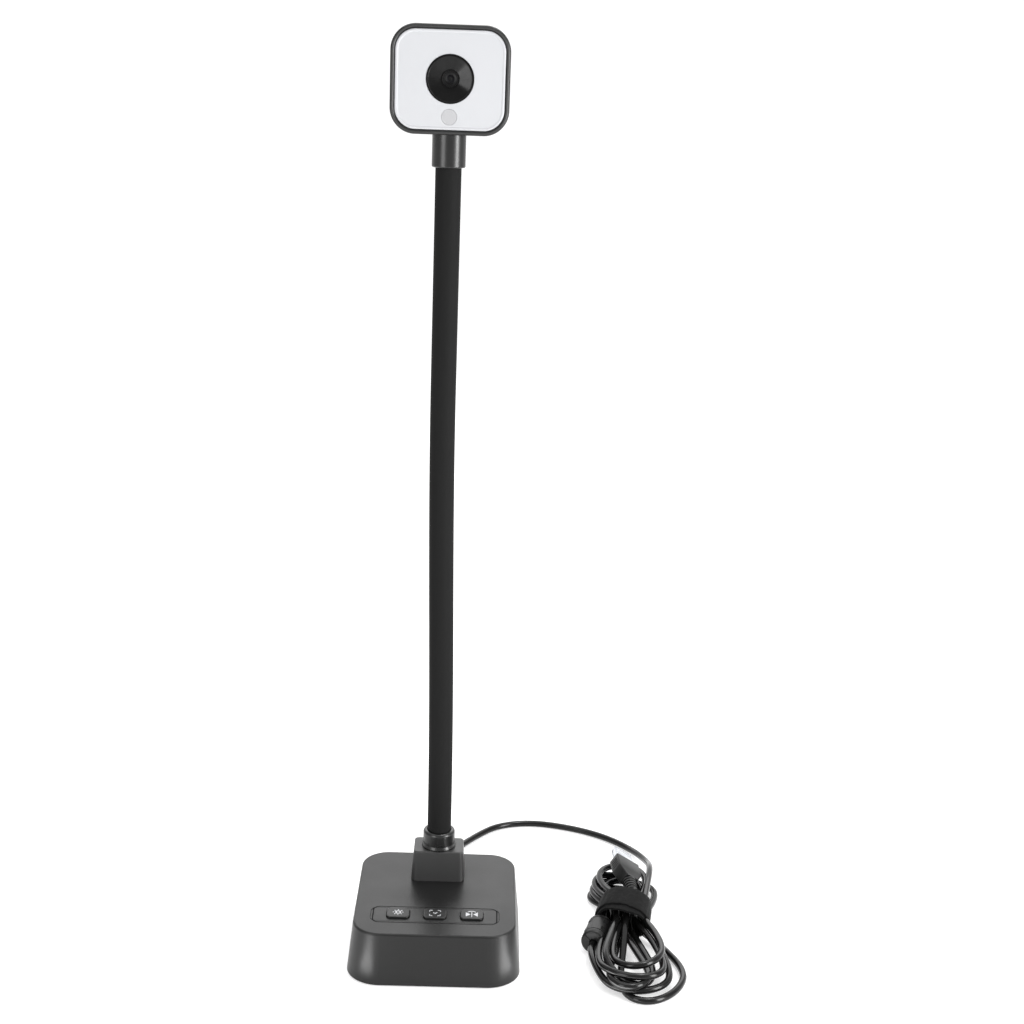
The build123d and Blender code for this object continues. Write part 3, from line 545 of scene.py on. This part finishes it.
def hank_points():
    """Every point of the wound cord after the route's last, in millimetres."""
    points = []
    for turn, (side, out, tip, back, spread) in enumerate(LOOPS):
        out, tip, back = Vector(out), Vector(tip), Vector(back)
        mouth = 0 if side < 0 else 1
        enter = at_strap(PASSES[turn][mouth][0], STRAP_REACH * side, PASSES[turn][mouth][1])
        leave = at_strap(PASSES[turn + 1][mouth][0], STRAP_REACH * side, PASSES[turn + 1][mouth][1])
        points.append(enter)
        if turn == WIDE_PASS:
            points.append(WIDE_GOING_OUT)
        else:
            points.append(toward(enter, out, spread))
        middle = (out + back) / 2
        for step in range(POINTS_ROUND_TIP):
            angle = math.pi * step / (POINTS_ROUND_TIP - 1)
            offset = (middle - back) * math.cos(angle) + (tip - middle) * math.sin(angle)
            flat = middle + offset * LOOP_SWELL
            points.append(Vector((flat.x, flat.y, middle.z + offset.z)))
        if turn == FERRITE_PASS:
            points.append(FERRITE_AT - FERRITE_ALONG * 19)
            points.append(FERRITE_AT - FERRITE_ALONG * 8)
            points.append(FERRITE_AT + FERRITE_ALONG * 8)
        elif turn == WIDE_PASS:
            points.append(WIDE_COMING_BACK)
        else:
            points.append(toward(leave, back, spread))
        points.append(leave)
    across, height = PASSES[-1][1]
    points.append(at_strap(across, STRAP_REACH, height))
    return points


def plug_frame():
    """Where the plug starts, turned so that its Y runs along it and its Z is its flat top."""
    turn = Matrix.Rotation(math.radians(PLUG_TURN), 4, "Z")
    rise = Matrix.Rotation(math.radians(PLUG_RISE), 4, "X")
    roll = Matrix.Rotation(math.radians(-PLUG_ROLL), 4, "Y")
    return Matrix.Translation(PLUG_AT * MM) @ turn @ rise @ roll


def spline_curve(name, points, order=3):
    """One open NURBS spline through its first and last control points."""
    data = bpy.data.curves.new(name, "CURVE")
    data.dimensions = "3D"
    spline = data.splines.new("NURBS")
    spline.points.add(len(points) - 1)
    for control, point in zip(spline.points, points):
        control.co = (point[0], point[1], point[2], 1.0)
    spline.order_u = order
    spline.use_endpoint_u = True
    data.resolution_u = 8
    return data


cord_points = [Vector(point) for point in CORD_ROUTE]
cord_points += [point * MM for point in hank_points()]
cord_points.append(plug_frame() @ Vector((0, 0.003, 0)))
cord_data = spline_curve("usb_lead", cord_points)
cord_data.bevel_depth = CORD_DIAMETER / 2
cord_data.bevel_resolution = 6
cord_data.use_fill_caps = True
lead = add_object("usb_lead", cord_data)
finish_with(lead, "cord_pvc")
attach(lead, "base")
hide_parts("usb_cord", "cord_hank")


# ---------------------------------------------------------------- strap round the hank
def strap_layer(name, grow, low, high, start, end, tail=0.0, droop=0.0):
    """One turn of the hook-and-loop strap, from one angle round the bundle to another."""
    across = [0.0, 0.04] + [0.12 + 0.76 * place / 10 for place in range(11)] + [0.96, 1.0]
    bm = bmesh.new()
    rings = []
    for step in range(STRAP_STEPS + 1):
        share = step / STRAP_STEPS
        angle = math.radians(start + (end - start) * share)
        c, s = math.cos(angle), math.sin(angle)
        reach = (abs(c) ** STRAP_SQUARENESS + abs(s) ** STRAP_SQUARENESS) ** (-1 / STRAP_SQUARENESS)
        taper = min(1.0, (1 - share) * 14 + 0.35)
        ring = []
        for side, order in ((1, across), (-1, list(reversed(across)))):
            for place in order:
                edge = min(place, 1 - place)
                thin = 0.78 if edge < 0.03 else (0.92 if edge < 0.1 else 1.0)
                ripple = 0.12 * math.sin(9.0 * angle + 3.0 * place) + 0.08 * math.sin(23.0 * angle)
                fuzz = noise.noise(Vector((14.0 * c, 14.0 * s, 19.0 * place + 7.0 * grow)))
                outward = grow + side * STRAP_HALF_THICKNESS * thin * taper + ripple + 0.16 * side * fuzz
                along = low + (high - low) * place - droop * max(0.0, s) * (1 - place)
                along += 0.7 * math.sin(3.0 * angle + 0.8 + grow) + tail * max(0.0, share - 0.86) * 7
                narrow = 1 - 0.14 * place * max(0.0, c)
                spot = at_strap(
                    (STRAP_HALF_WIDTH + outward) * c * reach * narrow,
                    along,
                    STRAP_MIDDLE_HEIGHT + (STRAP_HALF_HEIGHT + outward) * s * reach,
                )
                ring.append(bm.verts.new(Vector((spot.x, spot.y, max(spot.z, 0.15))) * MM))
        rings.append(ring)
    loft(bm, rings)
    band = finish_mesh(name, bm, 60)
    return finish_with(band, "strap_fabric")


strap_inner = strap_layer("strap_inner_turn", 0.0, -13.0, 5.6, -40.0, 318.0, droop=2.6)
strap_outer = strap_layer("strap_outer_turn", 1.3, -11.2, 7.4, 205.0, -48.0, tail=1.0, droop=0.8)
for band in (strap_inner, strap_outer):
    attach(band, "base")
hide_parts("cord_strap")


# ---------------------------------------------------------------- ferrite choke
def ferrite_half(name, place, lower):
    """Half of the clip-on case: a D-shaped shell, grooved near each end and bored for the cord."""
    outline = []
    for step in range(33):
        angle = math.radians(2.0 + 176.0 * step / 32)
        outline.append((FERRITE_RADIUS * math.cos(angle), FERRITE_RADIUS * math.sin(angle)))
    for step in range(13):
        angle = math.radians(176.0 - 172.0 * step / 12)
        outline.append((FERRITE_BORE * math.cos(angle), FERRITE_BORE * math.sin(angle)))
    stations = [(-10.0, 0.82), (-9.7, 0.93), (-9.0, 1.0), (-6.3, 1.0), (-6.2, 0.93), (-5.7, 0.93),
                (-5.6, 1.0), (6.6, 1.0), (6.7, 0.95), (7.1, 0.95), (7.2, 1.0), (9.0, 1.0),
                (9.7, 0.93), (10.0, 0.82)]
    bm = bmesh.new()
    rings = []
    for along, shrink in stations:
        ring = []
        for x, y in outline:
            inner = math.hypot(x, y) < 3.0
            size = 1.0 if inner else shrink
            height = y * size
            spot = Vector((x * size, -height if lower else height, along)) * MM
            ring.append(bm.verts.new(place @ spot))
        rings.append(ring)
    loft(bm, rings)
    return finish_with(finish_mesh(name, bm, 35), "ferrite_case")


def block(name, place, size, bevel, slot, sharp_from=35.0):
    """A moulded block with rounded edges, in millimetres about place."""
    bm = bmesh.new()
    bmesh.ops.create_cube(bm, size=1.0)
    bmesh.ops.scale(bm, vec=Vector(size) * MM, verts=bm.verts)
    bmesh.ops.bevel(bm, geom=bm.edges[:] + bm.verts[:], offset=bevel * MM, segments=3, affect="EDGES")
    bmesh.ops.transform(bm, matrix=place, verts=bm.verts)
    return finish_with(finish_mesh(name, bm, sharp_from), slot)


ferrite_place = Matrix.Translation(FERRITE_AT * MM) @ frame_along(FERRITE_ALONG, FERRITE_LATCH_SIDE)
ferrite_pieces = [
    ferrite_half("ferrite_upper_half", ferrite_place, False),
    ferrite_half("ferrite_lower_half", ferrite_place, True),
]
for number, along in enumerate((-5.2, 5.2)):
    spot = ferrite_place @ Matrix.Translation(Vector((6.75, 0.6, along)) * MM)
    ferrite_pieces.append(block(f"ferrite_latch_{number}", spot, (1.3, 3.6, 2.6), 0.25, "ferrite_case"))
    spot = ferrite_place @ Matrix.Translation(Vector((-6.75, 0.0, along)) * MM)
    ferrite_pieces.append(block(f"ferrite_hinge_{number}", spot, (1.2, 2.6, 4.0), 0.4, "ferrite_case"))
for number, along in enumerate((-3.2, 4.0)):
    spot = FERRITE_AT + FERRITE_ALONG * along + FERRITE_UP * 6.85
    facing = Matrix.Translation(spot * MM) @ frame_along(FERRITE_UP, FERRITE_ALONG)
    window = block(f"ferrite_window_{number}", facing, (3.4, 2.4, 0.5), 0.12, "ferrite_case")
    window.data.materials[0] = MATERIALS["foot_rubber"]
    ferrite_pieces.append(window)
for piece in ferrite_pieces:
    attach(piece, "base")
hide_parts("ferrite_choke")


# ---------------------------------------------------------------- plug
def plug_station(bm, place, along, width, height, corner):
    """One ring of the plug's moulding across its length."""
    return [
        bm.verts.new(place @ (Vector((x, along, z)) * MM))
        for x, z in rounded_outline(width, height, corner, 4)
    ]


def make_plug_moulding(place):
    bm = bmesh.new()
    stations = [
        (11.6, 7.6, 7.0, 0.9),
        (11.9, 8.4, 7.6, 0.7),
        (18.9, 15.5, 7.8, 0.7),
        (19.6, 15.8, 7.9, 0.7),
        (30.7, 15.8, 7.9, 0.7),
        (31.1, 15.4, 7.5, 0.7),
        (31.2, 14.4, 6.6, 0.7),
    ]
    rings = [plug_station(bm, place, *station) for station in stations]
    loft(bm, rings)
    return finish_with(finish_mesh("plug_moulding", bm, 28), "plug_plastic")


def make_plug_relief(place):
    """The ribbed boot behind the plug: full rings with narrow necks between them."""
    profile = [(0.0, -0.2), (2.1, -0.2), (2.3, 0.2)]
    for rib in range(5):
        at = 0.6 + rib * 2.2
        radius = 3.3 + 0.16 * rib
        profile += [(radius - 0.8, at), (radius, at + 0.3), (radius, at + 1.1), (radius - 0.8, at + 1.4)]
    profile += [(3.4, 11.9), (0.0, 11.9)]
    upright = place @ Matrix.Rotation(math.radians(-90), 4, "X")
    return finish_with(lathe("plug_relief", upright, profile, 40, 50), "plug_plastic")


def make_plug_shell(place):
    """The bright metal shell: a thin box, open at its end."""
    bm = bmesh.new()
    rings = []
    for along, width, height, corner in (
        (31.0, 12.0, 4.5, 0.7),
        (42.9, 12.0, 4.5, 0.7),
        (43.2, 11.7, 4.2, 0.6),
        (43.2, 11.3, 3.8, 0.5),
        (42.9, 11.2, 3.7, 0.5),
        (34.0, 11.2, 3.7, 0.5),
    ):
        rings.append(plug_station(bm, place, along, width, height, corner))
    loft(bm, rings)
    return finish_with(finish_mesh("plug_metal_shell", bm, 35), "plug_steel")


plug_place = plug_frame()
plug_pieces = [make_plug_moulding(plug_place), make_plug_relief(plug_place), make_plug_shell(plug_place)]
tongue_place = plug_place @ Matrix.Translation(Vector((0, 38.4, 0.85)) * MM)
plug_pieces.append(block("plug_tongue", tongue_place, (10.9, 8.4, 1.6), 0.2, "plug_plastic"))
for step in range(4):
    for side, word in ((-1, "left"), (1, "right")):
        at = plug_place @ Matrix.Translation(Vector((side * 7.75, 21.6 + step * 2.0, 0)) * MM)
        plug_pieces.append(block(f"plug_grip_{step}_{word}", at, (0.7, 0.9, 5.2), 0.2, "plug_plastic"))
for piece in plug_pieces:
    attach(piece, "base")
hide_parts("plug_body")
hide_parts("plug_shell")


# ---------------------------------------------------------------- neck sleeve
NECK_Y = 22.4
NECK_RADIUS = 6.55
SOCKET_TOP = 55.9
COLLAR_BOTTOM = 416.1
BOW, BOW_END = 3.5, 306.0
SECTIONS = 11
PITCH = (COLLAR_BOTTOM - SOCKET_TOP) / SECTIONS
SLEEVE_BOTTOM = 49.2
SLEEVE_TOP = 419.8
SPOKES = 48
RING_SPACING = 2.0


def neck_middle(height):
    """The neck's centre line at a height: an easy S towards -X that ends upright."""
    share = min(max((height - SOCKET_TOP) / (BOW_END - SOCKET_TOP), 0.0), 1.0)
    return Vector((-BOW * (1 - math.cos(math.pi * share)) / 2, NECK_Y, height))


def neck_piece(number, low, high):
    """The sleeve over one bend of the neck, in closely spaced rings."""
    bm = bmesh.new()
    rings = []
    count = max(10, int((high - low) / RING_SPACING))
    for step in range(count + 1):
        height = low + (high - low) * step / count
        middle = neck_middle(height)
        lean = neck_middle(height + 1) - neck_middle(height - 1)
        turn = Matrix.Translation(middle * MM) @ frame_along(lean)
        ring = []
        for spoke in range(SPOKES):
            angle = 2 * math.pi * spoke / SPOKES
            ring.append(bm.verts.new(
                turn @ (Vector((math.cos(angle), math.sin(angle), 0)) * NECK_RADIUS * MM)
            ))
        rings.append(ring)
    loft(bm, rings, close_ends=False)
    return finish_with(finish_mesh(f"neck_sleeve_bend_{number:02d}", bm, 60), "neck_silicone")


for number in range(1, SECTIONS + 1):
    hinge = SOCKET_TOP + PITCH * (number - 0.5)
    low, high = hinge - PITCH / 2, hinge + PITCH / 2
    if number == 1:
        low = SLEEVE_BOTTOM
    if number == SECTIONS:
        high = SLEEVE_TOP
    sleeve = neck_piece(number, low, high)
    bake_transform(sleeve)
    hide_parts(f"neck_sleeve_{number:02d}")
    if number == 1:
        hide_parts("neck_sleeve_00")


# ---------------------------------------------------------------- stage
def area_light(name, at, aim, size, power, side=Vector((1, 0, 0))):
    """A rectangular lamp at a place, shining towards aim, its width as near side as it can be."""
    data = bpy.data.lights.new(name, "AREA")
    data.shape = "RECTANGLE"
    data.size, data.size_y = size
    data.energy = power
    lamp = bpy.data.objects.new(name, data)
    lamp.visible_camera = False
    scene.collection.objects.link(lamp)
    lamp.matrix_world = Matrix.Translation(at) @ frame_along(at - aim, side)


def make_backdrop():
    """A sheet of pale paper: flat under the object, then curving up behind it."""
    bm = bmesh.new()
    flat_to, bend, bend_steps = 1.6, 1.4, 12
    profile = [(-6.0, 0.0), (flat_to, 0.0)]
    for step in range(1, bend_steps + 1):
        angle = math.pi / 2 * step / bend_steps
        profile.append((flat_to + bend * math.sin(angle), bend - bend * math.cos(angle)))
    profile.append((flat_to + bend, 6.0))
    rings = [[bm.verts.new((x, y, z)) for x in (-8.0, 8.0)] for y, z in profile]
    for low, high in zip(rings, rings[1:]):
        bm.faces.new((low[0], low[1], high[1], high[0]))
    return finish_mesh("backdrop", bm, 60)


backdrop = make_backdrop()
paper = plastic("backdrop_paper", grey(0.60), 0.9, grain_depth=0.02, mottle=0.004, specular=0.05)
paper.node_tree.nodes["Principled BSDF"].inputs["Emission Color"].default_value = grey(1.0)
paper.node_tree.nodes["Principled BSDF"].inputs["Emission Strength"].default_value = 0.5
backdrop.data.materials.append(paper)

world = bpy.data.worlds.new("studio")
world.use_nodes = True
world.node_tree.nodes["Background"].inputs["Color"].default_value = (1.0, 1.0, 1.0, 1.0)
world.node_tree.nodes["Background"].inputs["Strength"].default_value = 0.6
scene.world = world
scene.view_settings.view_transform = "Standard"

middle = Vector((0.0, 0.0, 0.2))
area_light("overhead", Vector((0.1, 0.3, 2.4)), middle, (2.6, 1.8), 31.0)
area_light("back_softbox", Vector((0.0, 1.35, 0.85)), Vector((0, 0, 0.03)), (1.8, 0.5), 7.0)
area_light("left_strip", Vector((-0.51, -0.66, 0.28)), middle, (0.35, 0.9), 4.5)
area_light("right_strip", Vector((0.73, -0.42, 0.28)), middle, (0.26, 0.9), 12.0)
area_light("key", Vector((0.35, 0.25, 1.5)), Vector((0.08, 0.0, 0.0)), (0.22, 0.22), 5.0)

# A small lamp lies in front of each of the base's front corners, as light off the paper.
for side, turn in ((-1, 37), (1, 59)):
    angle = math.radians(turn)
    away = Vector((side * math.sin(angle), -math.cos(angle), 0))
    at = Vector((side * 0.032, -0.036, 0.002)) + away * 0.055
    area_light("floor_glow", at, at + Vector((0, 0, 1)), (0.06, 0.024), 0.052, away)
